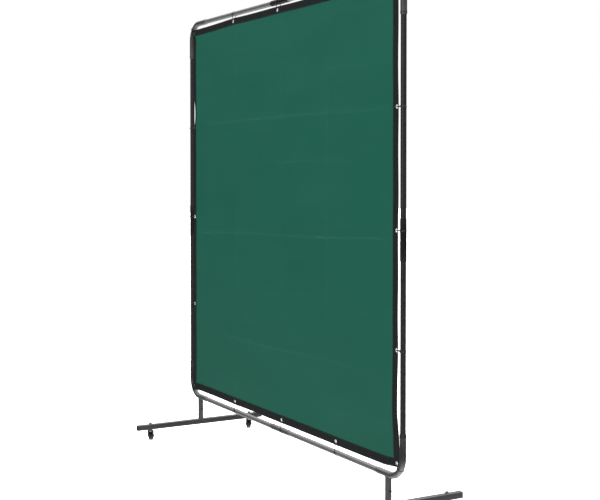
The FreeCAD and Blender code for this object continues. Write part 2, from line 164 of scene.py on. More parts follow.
# --- Materials --------------------------------------------------------------------------------
class Nodes:
    """A short way to add nodes to one material."""

    def __init__(self, name):
        self.material = bpy.data.materials.new(name)
        self.material.use_nodes = True
        self.tree = self.material.node_tree
        self.shader = self.tree.nodes["Principled BSDF"]
        self.place = self.tree.nodes.new("ShaderNodeTexCoord").outputs["Object"]

    def set(self, **values):
        for name, value in values.items():
            self.shader.inputs[name.replace("_", " ")].default_value = value

    def link(self, output, node, socket):
        self.tree.links.new(output, node.inputs[socket])

    def stretch(self, scale):
        node = self.tree.nodes.new("ShaderNodeMapping")
        node.inputs["Scale"].default_value = scale
        self.link(self.place, node, "Vector")
        return node.outputs["Vector"]

    def noise(self, scale, detail=3.0, roughness=0.5, vector=None):
        node = self.tree.nodes.new("ShaderNodeTexNoise")
        node.inputs["Scale"].default_value = scale
        node.inputs["Detail"].default_value = detail
        node.inputs["Roughness"].default_value = roughness
        self.link(vector or self.place, node, "Vector")
        return node.outputs["Fac"]

    def wave(self, scale, direction):
        node = self.tree.nodes.new("ShaderNodeTexWave")
        node.bands_direction = direction
        node.inputs["Scale"].default_value = scale
        self.link(self.place, node, "Vector")
        return node.outputs["Fac"]

    def attribute(self, name):
        node = self.tree.nodes.new("ShaderNodeAttribute")
        node.attribute_name = name
        return node.outputs["Fac"]

    def axis_z(self, vector):
        node = self.tree.nodes.new("ShaderNodeSeparateXYZ")
        self.link(vector, node, "Vector")
        return node.outputs["Z"]

    def level(self):
        """1 on a face that looks straight up or down, 0 on an upright one."""
        upward = self.axis_z(self.tree.nodes.new("ShaderNodeNewGeometry").outputs["Normal"])
        return self.math("MULTIPLY", upward, upward)

    def pointiness(self):
        return self.tree.nodes.new("ShaderNodeNewGeometry").outputs["Pointiness"]

    def ramp(self, value, low, high, to_low=0.0, to_high=1.0):
        node = self.tree.nodes.new("ShaderNodeMapRange")
        for name, number in zip(("From Min", "From Max", "To Min", "To Max"), (low, high, to_low, to_high)):
            node.inputs[name].default_value = number
        self.link(value, node, "Value")
        return node.outputs["Result"]

    def math(self, operation, a, b):
        node = self.tree.nodes.new("ShaderNodeMath")
        node.operation = operation
        for i, value in enumerate((a, b)):
            if isinstance(value, (int, float)):
                node.inputs[i].default_value = value
            else:
                self.tree.links.new(value, node.inputs[i])
        return node.outputs[0]

    def mix(self, factor, a, b):
        """Mixes two colours, each given as numbers or as a node's output."""
        node = self.tree.nodes.new("ShaderNodeMix")
        node.data_type = "RGBA"
        self.tree.links.new(factor, node.inputs[0])
        for socket, value in ((6, a), (7, b)):
            if isinstance(value, tuple):
                node.inputs[socket].default_value = (*value, 1)
            else:
                self.tree.links.new(value, node.inputs[socket])
        return node.outputs[2]

    def bump(self, height, strength, distance):
        node = self.tree.nodes.new("ShaderNodeBump")
        node.inputs["Strength"].default_value = strength
        node.inputs["Distance"].default_value = distance
        self.link(height, node, "Height")
        if self.shader.inputs["Normal"].is_linked:
            self.link(self.shader.inputs["Normal"].links[0].from_socket, node, "Normal")
        self.link(node.outputs["Normal"], self.shader, "Normal")


def powder_coat(name, dark, light, rough=(0.34, 0.48), painted_level_sheen=0.0, specular=0.5, painted_shade_above=None):
    """Baked powder paint: an orange-peel skin, slight cloudiness, rubbed edges, and a painted sheen that
    makes faces looking up or down paler.

    A bottom elbow's paint can turn to a given darker colour on its way up: painted shade that meets the dark
    uprights.
    """
    n = Nodes(name)
    cloud = n.ramp(n.noise(9.0), 0.3, 0.7)
    speck = n.ramp(n.noise(900.0, 2.0), 0.62, 0.8)
    rubbed = n.ramp(n.pointiness(), 0.54, 0.62, 0.0, 0.35)
    colour = n.mix(cloud, dark, light)
    # painted sheen: faces that look up or down are mixed towards a pale grey, standing in for light from
    # above and below
    if painted_level_sheen:
        colour = n.mix(n.level(), colour, (painted_level_sheen, painted_level_sheen, painted_level_sheen))
    colour = n.mix(n.math("MULTIPLY", speck, 0.35), colour, tuple(c * 2.2 for c in light))
    colour = n.mix(rubbed, colour, tuple(c * 2.6 + 0.01 for c in light))
    n.set(Metallic=0.0, Specular_IOR_Level=specular)
    # painted shade: the bottom elbow darkens to the uprights' colour as it rises
    if painted_shade_above:
        shade_rise = n.ramp(n.axis_z(n.place), FRAME_LOW + 0.03, FRAME_LOW + 0.10)
        colour = n.mix(shade_rise, colour, painted_shade_above)
    n.link(colour, n.shader, "Base Color")
    n.link(n.ramp(n.noise(60.0), 0.3, 0.7, *rough), n.shader, "Roughness")
    n.bump(n.noise(650.0, 2.0), 0.22, 0.00012)
    n.bump(n.noise(120.0, 2.0), 0.10, 0.0002)
    return n.material


def bare_metal(name, dark, light, rough, metallic=1.0):
    """Plated steel with fine scratches and small darker patches."""
    n = Nodes(name)
    patch = n.ramp(n.noise(120.0, 4.0), 0.35, 0.7)
    n.link(n.mix(patch, light, dark), n.shader, "Base Color")
    scratch = n.noise(300.0, 5.0, 0.7, n.stretch((1.0, 1.0, 9.0)))
    n.link(n.ramp(scratch, 0.3, 0.75, rough * 0.8, rough * 1.5), n.shader, "Roughness")
    n.bump(scratch, 0.12, 0.0001)
    n.set(Metallic=metallic)
    return n.material


def moulded(name, dark, light, rough):
    """Moulded plastic or rubber with a fine spark-eroded grain."""
    n = Nodes(name)
    cloud = n.ramp(n.noise(35.0), 0.3, 0.7)
    scuff = n.ramp(n.pointiness(), 0.55, 0.65, 0.0, 0.5)
    colour = n.mix(cloud, dark, light)
    n.link(n.mix(scuff, colour, tuple(c * 2.5 for c in light)), n.shader, "Base Color")
    n.link(n.ramp(n.noise(90.0), 0.3, 0.7, rough - 0.08, rough + 0.08), n.shader, "Roughness")
    n.bump(n.noise(1400.0, 2.0), 0.25, 0.00008)
    return n.material


def curtain_vinyl():
    """Tinted vinyl: calendered skin, faint streaks, and paler, duller lines where it was folded."""
    n = Nodes("curtain_vinyl")
    deep, pale = (0.008, 0.088, 0.058), (0.010, 0.096, 0.064)
    streak = n.noise(2.2, 4.0, 0.55, n.stretch((0.6, 1.0, 3.2)))
    colour = n.mix(n.ramp(streak, 0.3, 0.7), deep, pale)
    worn = n.math("MULTIPLY", n.attribute("crease"), n.ramp(n.noise(30.0), 0.35, 0.65, 0.3, 1.0))
    n.link(n.mix(n.math("MULTIPLY", worn, 0.42), colour, (0.045, 0.165, 0.125)), n.shader, "Base Color")
    cloudy = n.ramp(n.noise(5.0, 4.0), 0.3, 0.7, 0.40, 0.50)
    n.link(n.math("ADD", cloudy, n.math("MULTIPLY", worn, 0.08)), n.shader, "Roughness")
    n.bump(n.noise(1800.0, 2.0), 0.10, 0.00006)
    n.bump(n.noise(14.0, 3.0, 0.5, n.stretch((0.5, 1.0, 1.6))), 0.25, 0.0012)
    n.set(Specular_IOR_Level=0.16)
    return n.material


def hem_vinyl():
    """Black coated polyester tape: a plain weave under a thin skin."""
    n = Nodes("hem_vinyl")
    weave = n.math("MULTIPLY", n.wave(420.0, "X"), n.wave(420.0, "Z"))
    cloud = n.ramp(n.noise(12.0, 4.0), 0.3, 0.7)
    colour = n.mix(cloud, (0.0060, 0.0078, 0.0078), (0.0088, 0.0112, 0.0112))
    n.link(n.mix(n.math("MULTIPLY", weave, 0.5), colour, (0.014, 0.017, 0.017)), n.shader, "Base Color")
    n.link(n.ramp(n.noise(40.0), 0.3, 0.7, 0.50, 0.64), n.shader, "Roughness")
    n.bump(weave, 0.35, 0.00018)
    n.bump(n.noise(60.0), 0.3, 0.0006)
    n.set(Specular_IOR_Level=0.12)
    return n.material


# One powder coat in lit and shaded copies: the uprights take the darkest copy as painted shade; the rails,
# legs, feet, posts and bottom elbows take paler copies as painted light from above and below; the top elbows
# take a copy in between.
PAINTS = {  # dark and light colour, roughness, painted sheen on level faces, specular level, and the darker colour higher up, painted shade
    "frame_paint": ((0.006, 0.006, 0.0062), (0.009, 0.009, 0.0092), (0.24, 0.34), 0.06, 0.4),
    "top_elbow_paint_painted_light": ((0.022, 0.022, 0.0225), (0.029, 0.029, 0.0295), (0.26, 0.36), 0.12, 0.8),
    "low_elbow_paint_painted_light_and_shade": (
        (0.033, 0.033, 0.0335), (0.041, 0.041, 0.0415), (0.26, 0.36), 0.14, 0.7,
        # the darker colour higher up, painted shade
        (0.0055, 0.0055, 0.0057),
    ),
    "rail_paint_painted_light": ((0.042, 0.042, 0.0425), (0.054, 0.054, 0.0545), (0.26, 0.36), 0.13, 0.9),
    "foot_paint_painted_light": ((0.034, 0.034, 0.0345), (0.042, 0.042, 0.0425), (0.30, 0.42), 0.13, 0.5),
    "sleeve_paint": ((0.003, 0.003, 0.0032), (0.005, 0.005, 0.0052), (0.4, 0.52), 0.0, 0.2),
    "black_steel": ((0.012, 0.012, 0.012), (0.018, 0.018, 0.018), (0.3, 0.42)),
    "caster_steel": ((0.010, 0.010, 0.011), (0.016, 0.016, 0.017), (0.28, 0.4)),
    "weld": ((0.05, 0.05, 0.051), (0.07, 0.07, 0.071), (0.36, 0.55)),
}
METALS = {  # dark and light colour, roughness, metallic
    "zinc_steel": ((0.20, 0.20, 0.20), (0.34, 0.34, 0.345), 0.36),
    "grommet_metal": ((0.62, 0.62, 0.62), (0.86, 0.86, 0.85), 0.32, 0.35),
}
MOULDINGS = {  # dark and light colour, roughness
    "cap_plastic": ((0.008, 0.008, 0.008), (0.012, 0.012, 0.012), 0.5),
    "wheel_plastic": ((0.010, 0.010, 0.010), (0.016, 0.016, 0.016), 0.42),
    "wheel_tyre": ((0.008, 0.008, 0.008), (0.014, 0.014, 0.014), 0.62),
    "tie_nylon": ((0.010, 0.010, 0.010), (0.016, 0.016, 0.016), 0.36),
    "thread": ((0.012, 0.013, 0.013), (0.020, 0.021, 0.021), 0.7),
}
materials = {"curtain_vinyl": curtain_vinyl(), "hem_vinyl": hem_vinyl()}
for kind, table in ((powder_coat, PAINTS), (bare_metal, METALS), (moulded, MOULDINGS)):
    for name, values in table.items():
        materials[name] = kind(name, *values)


# --- Mesh helpers -------------------------------------------------------------------------------
def lathe(bm, profile, place=Matrix.Identity(4), segments=48):
    """Adds a shape turned about the local Z axis from (radius, height) points. A radius of 0 closes it."""
    rings = []
    for radius, height in profile:
        count = 1 if radius == 0 else segments
        turn = [2 * math.pi * i / segments for i in range(count)]
        points = [Vector((radius * math.cos(a), radius * math.sin(a), height)) for a in turn]
        rings.append([bm.verts.new(place @ point) for point in points])
    for low, high in zip(rings, rings[1:]):
        for i in range(segments):
            a, b = low[i % len(low)], low[(i + 1) % len(low)]
            c, d = high[(i + 1) % len(high)], high[i % len(high)]
            corners = list(dict.fromkeys((a, b, c, d)))
            if len(corners) > 2:
                bm.faces.new(corners)


def skin(bm, rings):
    """Joins each closed ring of corners to the next with a band of faces."""
    for near, far in zip(rings, rings[1:]):
        for i in range(len(near)):
            j = (i + 1) % len(near)
            bm.faces.new((near[i], near[j], far[j], far[i]))


def prism(bm, outline, low, high, place=Matrix.Identity(4)):
    """Adds a closed prism: an outline of (x, y) points between two heights."""
    floor = [bm.verts.new(place @ Vector((x, y, low))) for x, y in outline]
    roof = [bm.verts.new(place @ Vector((x, y, high))) for x, y in outline]
    bm.faces.new(floor[::-1])
    bm.faces.new(roof)
    skin(bm, [floor, roof])


def merge(bm, part):
    """Moves a part into a mesh."""
    spare = bpy.data.meshes.new("spare")
    part.to_mesh(spare)
    part.free()
    bm.from_mesh(spare)
    bpy.data.meshes.remove(spare)


def in_mm(*points):
    """Points given in millimetres, as metres."""
    return [(a * MM, b * MM) for a, b in points]


def mirrored(profile):
    """A closed profile, from the half of it above height 0."""
    return profile + [(radius, -height) for radius, height in reversed(profile)] + profile[:1]


def raised(place, height):
    return place @ Matrix.Translation((0, 0, height))


def arc(centre, radius, start, end, steps):
    """Points (x, y) on an arc, with its angles in degrees."""
    angles = [math.radians(start + (end - start) * i / steps) for i in range(steps + 1)]
    return [(centre[0] + radius * math.cos(a), centre[1] + radius * math.sin(a)) for a in angles]


def rounded_square(half, radius, steps=5):
    inner = half - radius
    corners = [(inner, inner, 0), (-inner, inner, 90), (-inner, -inner, 180), (inner, -inner, 270)]
    return [p for x, y, start in corners for p in arc((x, y), radius, start, start + 90, steps)]


def bevel_sharp(bm, width, segments=2):
    """Rounds the edges that turn by more than 35 degrees."""
    bmesh.ops.recalc_face_normals(bm, faces=bm.faces)
    limit = math.radians(35)
    sharp = [e for e in bm.edges if len(e.link_faces) == 2 and e.calc_face_angle(0) > limit]
    bmesh.ops.bevel(
        bm, geom=sharp, offset=width, segments=segments, profile=0.6, affect="EDGES", clamp_overlap=True
    )


def piece(name, bm, material, body, replaces=(), smooth=40):
    """Turns a bmesh into a piece with a material, which rides on a CAD body."""
    bmesh.ops.remove_doubles(bm, verts=bm.verts, dist=1e-7)
    bmesh.ops.recalc_face_normals(bm, faces=bm.faces)
    mesh = bpy.data.meshes.new(name)
    bm.to_mesh(mesh)
    bm.free()
    mesh.shade_smooth()
    mesh.set_sharp_from_angle(angle=math.radians(smooth))
    mesh.materials.append(materials[material])
    made = add_object(name, mesh)
    if replaces:
        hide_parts(*replaces)
    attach(made, body)
    return made


def along(place, direction):
    """A matrix whose Z axis runs along a direction from a place."""
    turn = Vector(direction).to_track_quat("Z", "Y").to_matrix().to_4x4()
    return Matrix.Translation(place) @ turn


def smoothstep(value):
    t = np.clip(value, 0.0, 1.0)
    return t * t * (3 - 2 * t)


# --- The curtain --------------------------------------------------------------------------------
hem_boxes = {side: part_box(f"hem_{side}") for side in ("left", "right", "top", "bottom")}
LEFT, RIGHT = hem_boxes["left"][0].x, hem_boxes["right"][1].x
BOTTOM, TOP = hem_boxes["bottom"][0].z, hem_boxes["top"][1].z
CURTAIN_Y = (hem_boxes["top"][0].y + hem_boxes["top"][1].y) / 2
HEM_WIDTH = TOP - hem_boxes["top"][0].z
SIDE_HEM_HALF = 0.55 * MM  # half thickness, front to back
END_HEM_HALF = 0.85 * MM  # the top and bottom hems lap over the side hems

# Fold lines left by packing: height at the middle, slope, strength, and the stretch of X that shows.
FOLDS = (
    (1.562, 0.000, 1.0, -0.90, 0.90),
    (1.048, 0.028, -1.1, -0.90, 0.90),
    (0.548, 0.020, 1.0, -0.62, 0.62),
    (1.366, 0.004, 0.55, -0.20, 0.70),
    (1.758, -0.03, 0.45, 0.30, 0.88),
    (0.780, 0.080, -0.45, -0.20, 0.45),
    (1.945, 0.020, 0.40, 0.20, 0.85),
    (0.395, -0.060, 0.45, 0.05, 0.75),
)
FOLD_HEIGHT = 1.3 * MM
FOLD_SPREAD = 7.0 * MM
UPRIGHT_FOLDS = ((-0.412, 0.35), (0.405, -0.40), (0.02, 0.25))

SHIFT = 3.0 * MM  # the curtain is stretched this far to the right at its right edge
SCALLOPS = {  # mm that each stretch between grommets draws in, from the left or from below
    "left": (1.0, 0.5, 0.5, 1.0),
    "right": (4.0, 0.5, 0.0, 2.0),
    "top": (1.0, 1.5, 1.5, 1.5),
    "bottom": (1.0, 1.0, 1.0, 0.5),
}
# How much narrower each hem is than the widest one.
HEM_TRIM = {"left": 5.0 * MM, "right": 0.0, "top": 4.5 * MM, "bottom": 1.5 * MM}
SCALLOP_REACH = 0.11
# Back, up and reach: three corners lap in front of their elbows, and one sits inside its elbow.
CORNER_SHIFTS = {
    ("left", "bottom"): (-9.4 * MM, -4.0 * MM, 0.075),
    ("left", "top"): (-9.4 * MM, 0.0, 0.075),
    ("right", "top"): (-9.4 * MM, 0.0, 0.075),
    ("right", "bottom"): (6.0 * MM, 6.0 * MM, 0.10),
}
TOP_SLOPE = 10.0 * MM  # the top hem falls this far from its first grommet to the left corner
FLARE_HEIGHTS = (0.223, 0.234, 0.246, 0.275, 0.340, 0.430)  # where the right hem runs out to the bottom elbow
FLARE_OUT = (-5.6 * MM, 2.0 * MM, 6.0 * MM, 10.0 * MM, 10.5 * MM, 0.0)
FLARE_REACH = 0.06
LOW_EYELET_MOVE = (1.5 * MM, -5.5 * MM)  # the bottom right eyelet sits nearer to its corner
TURN_Z, TURN_HALF = 1.61, 0.14  # the left hem's outer edge turns back here, above and below its tie
TURN_BACK, TURN_REACH = 11.0 * MM, 14.0 * MM
TIE_GRIP = 12.0 * MM  # the tie holds the edge flat this far to each side
GROMMET_INSET = 15.0 * MM
GROMMETS_OUT = 5.5 * MM  # the right-hand eyelets sit this much nearer to the edge than the others
RIGHT_BACK = 2.0 * MM  # the right hem is tied nearer to the tubes' plane


def grommet_places():
    """The middle of each grommet's hole as (x, z), from the CAD group."""
    mesh = nodes["grommets"].data
    bm = bmesh.new()
    bm.from_mesh(mesh)
    bmesh.ops.remove_doubles(bm, verts=bm.verts, dist=1e-6)
    left, places = set(bm.verts), []
    while left:
        group, todo = [], [left.pop()]
        while todo:
            vert = todo.pop()
            group.append(vert.co)
            for edge in vert.link_edges:
                other = edge.other_vert(vert)
                if other in left:
                    left.remove(other)
                    todo.append(other)
        xs, zs = [c.x for c in group], [c.z for c in group]
        places.append(((min(xs) + max(xs)) / 2, (min(zs) + max(zs)) / 2))
    bm.free()
    low_corner = max(places, key=lambda spot: spot[0] - spot[1])
    places.remove(low_corner)
    places.append((low_corner[0] + LOW_EYELET_MOVE[0], low_corner[1] + LOW_EYELET_MOVE[1]))
    return sorted(places)


grommets = grommet_places()


def edge_stops(side):
    """Where the grommets hold one edge, in order along it."""
    upright = side in ("left", "right")
    line = {"left": LEFT, "right": RIGHT, "top": TOP, "bottom": BOTTOM}[side]
    near = [g for g in grommets if abs((g[0] if upright else g[1]) - line) < HEM_WIDTH]
    return sorted(g[1] if upright else g[0] for g in near)


STOPS = {side: np.array(edge_stops(side)) for side in SCALLOPS}


def scallop(side, t):
    """How far the edge draws in between two grommets."""
    stops = STOPS[side]
    index = np.clip(np.searchsorted(stops, t) - 1, 0, len(stops) - 2)
    share = np.clip((t - stops[index]) / (stops[index + 1] - stops[index]), 0, 1)
    return np.array(SCALLOPS[side])[index] * MM * 4 * share * (1 - share)


def fold_lift(x, z):
    """The ridges along the fold lines, and how strongly the vinyl is marked there."""
    lift, mark = np.zeros_like(x), np.zeros_like(x)
    for height, slope, strength, start, end in FOLDS:
        line = height + slope * x + 2.5 * MM * np.sin(5.1 * x + 9 * height)
        fade = smoothstep((x - start) / 0.15) * smoothstep((end - x) / 0.15)
        patchy = 0.7 + 0.3 * np.sin(7.0 * x + 5 * height) * np.sin(3.1 * x + height)
        ridge = np.exp(-np.abs(z - line) / FOLD_SPREAD)
        lift += FOLD_HEIGHT * strength * fade * patchy * ridge
        mark += abs(strength) * fade * patchy * np.exp(-np.abs(z - line) / (0.45 * FOLD_SPREAD))
    for across, strength in UPRIGHT_FOLDS:
        line = across + 3 * MM * np.sin(4.0 * z)
        patchy = 0.5 + 0.5 * np.sin(4.7 * z + 8 * across) ** 2
        ridge = np.exp(-np.abs(x - line) / (1.3 * FOLD_SPREAD))
        lift += FOLD_HEIGHT * strength * patchy * ridge
        mark += abs(strength) * patchy * np.exp(-np.abs(x - line) / (0.5 * FOLD_SPREAD))
    return lift, np.clip(mark, 0, 1)


def hang(x, z):
    """Where a point of the flat cut hangs: arrays of x, y, z, and the fold marks."""
    x, z = np.asarray(x, float), np.asarray(z, float)
    from_left, from_right = x - LEFT, RIGHT - x
    from_bottom, from_top = z - BOTTOM, TOP - z
    edge = np.minimum(np.minimum(from_left, from_right), np.minimum(from_bottom, from_top))
    new_x = x + SHIFT * from_left / (RIGHT - LEFT) + scallop("left", z) * np.exp(-from_left / SCALLOP_REACH)
    new_x -= scallop("right", z) * np.exp(-from_right / SCALLOP_REACH)
    new_x += np.interp(from_right, (0, GROMMET_INSET, HEM_WIDTH), (0, GROMMETS_OUT, 0))
    new_x += np.interp(z, FLARE_HEIGHTS, FLARE_OUT) * np.exp(-from_right / FLARE_REACH)
    new_z = z + scallop("bottom", x) * np.exp(-from_bottom / SCALLOP_REACH)
    new_z -= scallop("top", x) * np.exp(-from_top / SCALLOP_REACH)
    first = STOPS["top"][1]
    new_z -= TOP_SLOPE * np.clip((first - x) / (first - LEFT), 0, 1) * np.exp(-from_top / 0.3)
    lift, mark = fold_lift(x, z)
    y = CURTAIN_Y - lift + RIGHT_BACK * np.exp(-from_right / SCALLOP_REACH)
    y += 1.6 * MM * np.sin(3.3 * x + 1.1 * z) * np.sin(2.7 * z + 0.8) * smoothstep(edge / 0.2)
    y += 0.8 * MM * np.sin(7.9 * x - 2.3 * z + 1.0) * np.sin(4.4 * z) * smoothstep(edge / 0.15)
    turned = np.cos(np.clip((z - TURN_Z) / TURN_HALF, -1, 1) * math.pi / 2) ** 2
    turned *= 1 - np.exp(-(((z - STOPS["left"][3]) / TIE_GRIP) ** 2))
    y += TURN_BACK * turned * np.exp(-from_left / TURN_REACH)
    wave = np.sin(2 * math.pi * z / 0.31 + 1.3 * np.sign(x)) + np.sin(2 * math.pi * x / 0.37 + 0.4)
    y += 0.7 * MM * wave * np.exp(-edge / 0.05)
    for (side, level), (back, up, reach) in CORNER_SHIFTS.items():
        corner_x = LEFT if side == "left" else RIGHT
        corner_z = BOTTOM if level == "bottom" else TOP
        near = smoothstep(1 - np.hypot(x - corner_x, z - corner_z) / reach)
        y += back * near
        new_z += up * near
    for hole_x, hole_z in grommets:
        away = np.hypot(x - hole_x, z - hole_z)
        pucker = np.exp(-((away / 0.045) ** 2)) * np.cos(5 * np.arctan2(z - hole_z, x - hole_x))
        y += 0.35 * MM * pucker * np.clip((away - 9 * MM) / 0.02, 0, 1)
    return new_x, y, new_z, mark


def curtain_sheet():
    """The vinyl sheet, which runs under the hem for most of its width."""
    tuck = 8 * MM
    columns = np.linspace(LEFT + tuck, RIGHT - tuck, 181)
    rows = np.linspace(BOTTOM + tuck, TOP - tuck, 361)
    flat_x, flat_z = np.meshgrid(columns, rows)
    x, y, z, mark = hang(flat_x.ravel(), flat_z.ravel())
    mesh = bpy.data.meshes.new("curtain")
    wide = len(columns)
    starts = (np.arange(len(rows) - 1)[:, None] * wide + np.arange(wide - 1)[None, :]).ravel()
    faces = np.stack([starts, starts + 1, starts + wide + 1, starts + wide], axis=1)
    holes = np.ones(len(faces), bool)
    middle_x, middle_z = flat_x.ravel()[faces].mean(axis=1), flat_z.ravel()[faces].mean(axis=1)
    for hole_x, hole_z in grommets:
        holes &= np.hypot(middle_x - hole_x, middle_z - hole_z) > 10.5 * MM
    mesh.from_pydata(np.stack([x, y, z], axis=1).tolist(), [], faces[holes].tolist())
    attribute = mesh.attributes.new("crease", "FLOAT", "POINT")
    attribute.data.foreach_set("value", mark.astype(np.float32))
    bm = bmesh.new()
    bm.from_mesh(mesh)
    loose = [v for v in bm.verts if not v.link_faces]
    bmesh.ops.delete(bm, geom=loose, context="VERTS")
    bm.to_mesh(mesh)
    bm.free()
    mesh.shade_smooth()
    mesh.materials.append(materials["curtain_vinyl"])
    made = add_object("curtain", mesh)
    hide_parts("curtain_sheet")
    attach(made, FRAME_BODY)
    return made


def side_point(side, run, depth):
    """Flat (x, z) of a point that lies run along a side and depth in from its edge."""
    if side == "left":
        return LEFT + depth, run
    if side == "right":
        return RIGHT - depth, run
    if side == "top":
        return run, TOP - depth
    return run, BOTTOM + depth


def side_range(side):
    return (BOTTOM, TOP) if side in ("left", "right") else (LEFT, RIGHT)


def hem_half(side):
    return SIDE_HEM_HALF if side in ("left", "right") else END_HEM_HALF


def hem_mesh(side):
    """A folded strip with a rounded outer fold and a pressed inner edge, along one side of the sheet."""
    half, width = hem_half(side), HEM_WIDTH - HEM_TRIM[side]
    fold = 1.6 * MM
    depths = [fold, width * 0.12, width * 0.35, width * 0.62, width * 0.88, width - 0.8 * MM]
    front = [(d, -half) for d in depths] + [(width, -half * 0.55)]
    back = [(d, -y) for d, y in reversed(front)]
    section = [(0.0, 0.0), (fold * 0.3, -half * 0.75), *front, *back, (fold * 0.3, half * 0.75)]
    start, end = side_range(side)
    inset = 1.6 * MM if side in ("left", "right") else 0.0
    steps = 240
    runs = np.linspace(start + inset, end - inset, steps + 1)
    bm = bmesh.new()
    rings = []
    for depth, lift in section:
        flat = [side_point(side, run, depth) for run in runs]
        x, y, z, _ = hang([p[0] for p in flat], [p[1] for p in flat])
        rings.append([bm.verts.new((a, b + lift, c)) for a, b, c in zip(x, y, z)])
    count = len(section)
    for i in range(count):
        near, far = rings[i], rings[(i + 1) % count]
        for k in range(steps):
            bm.faces.new((near[k], near[k + 1], far[k + 1], far[k]))
    for k in (0, steps):
        bm.faces.new([ring[k] for ring in rings])
    return bm


def punch(made, spots, radius):
    """Cuts a round hole through a thin piece at each spot."""
    bm = bmesh.new()
    for x, y, z in spots:
        face_y = along(Vector((x, y - 0.01, z)), (0, 1, 0))
        lathe(bm, [(0, 0), (radius, 0), (radius, 0.02), (0, 0.02)], face_y, 28)
    bmesh.ops.recalc_face_normals(bm, faces=bm.faces)
    mesh = bpy.data.meshes.new("punch")
    bm.to_mesh(mesh)
    bm.free()
    cutter = add_object("punch", mesh)
    boolean = made.modifiers.new("holes", "BOOLEAN")
    boolean.object = cutter
    boolean.operation = "DIFFERENCE"
    boolean.solver = "EXACT"
    bpy.context.view_layer.update()
    cut = bpy.data.meshes.new_from_object(made.evaluated_get(bpy.context.evaluated_depsgraph_get()))
    made.modifiers.clear()
    old = made.data
    made.data = cut
    bpy.data.meshes.remove(old)
    bpy.data.objects.remove(cutter)
    made.data.shade_smooth()
    made.data.set_sharp_from_angle(angle=math.radians(40))


GROMMET_HOLE_R = 4.5 * MM
GROMMET_SPOTS = []
for spot_x, spot_z in grommets:
    held_x, held_y, held_z, _ = hang([spot_x], [spot_z])
    GROMMET_SPOTS.append((float(held_x[0]), float(held_y[0]), float(held_z[0])))


STITCH_PITCH = 8.0 * MM
STITCH_CLEAR = 9.5 * MM  # no stitch comes nearer to the middle of a grommet


def stitch(bm, side, run, depth, face):
    """One raised stitch on the front (-1) or back (1) of the hem."""
    half_long, half_wide, tall = 2.6 * MM, 0.42 * MM, 0.32 * MM
    ends = []
    for shift, wide, lift in ((-1, 1, 0.0), (-0.6, 1, 1.0), (0.6, 1, 1.0), (1, 1, 0.0)):
        for edge in (-1, 1):
            x, z = side_point(side, run + shift * half_long, depth + edge * wide * half_wide)
            ends.append((x, z, lift))
    x, y, z, _ = hang([e[0] for e in ends], [e[1] for e in ends])
    surface = hem_half(side)
    verts = []
    for i, (_, _, lift) in enumerate(ends):
        out = surface - 0.05 * MM + lift * tall
        verts.append(bm.verts.new((x[i], y[i] + face * out, z[i])))
    for a, b, c, d in ((0, 1, 3, 2), (2, 3, 5, 4), (4, 5, 7, 6)):
        bm.faces.new((verts[a], verts[b], verts[c], verts[d]))
    bm.faces.new((verts[0], verts[2], verts[4], verts[6]))
    bm.faces.new((verts[1], verts[3], verts[5], verts[7]))
    bm.faces.new((verts[0], verts[6], verts[7], verts[1]))


def stitching(side):
    """Two rows of lockstitch on each face of a hem."""
    start, end = side_range(side)
    bm = bmesh.new()
    for depth in (3.6 * MM, HEM_WIDTH - HEM_TRIM[side] - 3.4 * MM):
        count = int((end - start - 2 * depth) / STITCH_PITCH)
        for face in (-1, 1):
            for i in range(count):
                run = start + depth + (i + 0.5) * STITCH_PITCH
                x, z = side_point(side, run, depth)
                if all(math.hypot(x - gx, z - gz) > STITCH_CLEAR for gx, gz in grommets):
                    stitch(bm, side, run, depth, face)
    return piece(f"stitching_{side}", bm, "thread", FRAME_BODY)


def grommet_piece(index, x, y, z, thick, material):
    """A rolled eyelet in front and its washer behind."""
    barrel, flange = GROMMET_HOLE_R, 7.5 * MM
    front = [(barrel, thick + 0.2 * MM), (barrel + 0.3 * MM, -thick - 0.75 * MM)]
    front += [(barrel + 1.1 * MM, -thick - 1.15 * MM), (flange - 0.9 * MM, -thick - 0.95 * MM)]
    front += [(flange - 0.2 * MM, -thick - 0.55 * MM), (flange, -thick + 0.05 * MM)]
    front += [(barrel + 0.9 * MM, -thick + 0.05 * MM), (barrel + 0.9 * MM, thick + 0.2 * MM)]
    back = [(barrel - 0.05 * MM, thick + 0.1 * MM), (flange, thick - 0.05 * MM), (flange, thick + 0.35 * MM)]
    back += [(flange - 0.6 * MM, thick + 0.65 * MM), (barrel + 0.8 * MM, thick + 1.0 * MM)]
    back += [(barrel, thick + 0.8 * MM)]
    place = along(Vector((x, y, z)), (0, 1, 0))
    bm = bmesh.new()
    for profile in (front, back):
        lathe(bm, profile + profile[:1], place, 36)
    return piece(f"grommet_{index:02d}", bm, material, FRAME_BODY)


def make_curtain():
    sheet = curtain_sheet()
    with_pieces = []
    for side in SCALLOPS:
        hem = piece(f"hem_{side}_tape", hem_mesh(side), "hem_vinyl", FRAME_BODY, [f"hem_{side}"])
        punch(hem, GROMMET_SPOTS, GROMMET_HOLE_R + 0.6 * MM)
        with_pieces += [hem, stitching(side)]
    for index, (x, y, z) in enumerate(GROMMET_SPOTS):
        on_end_hem = z > TOP - HEM_WIDTH or z < BOTTOM + HEM_WIDTH
        # painted shade: eyelets at the left corners and beside the turned-back left edge get dark black steel
        # instead of the bright eyelet metal
        painted_shade_eyelet = x < LEFT + HEM_WIDTH and (on_end_hem or abs(z - TURN_Z) < TURN_HALF)
        thick = END_HEM_HALF if on_end_hem else SIDE_HEM_HALF
        eyelet = grommet_piece(index, x, y, z, thick, "black_steel" if painted_shade_eyelet else "grommet_metal")
        if index == 0:
            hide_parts("grommets")
        with_pieces.append(eyelet)


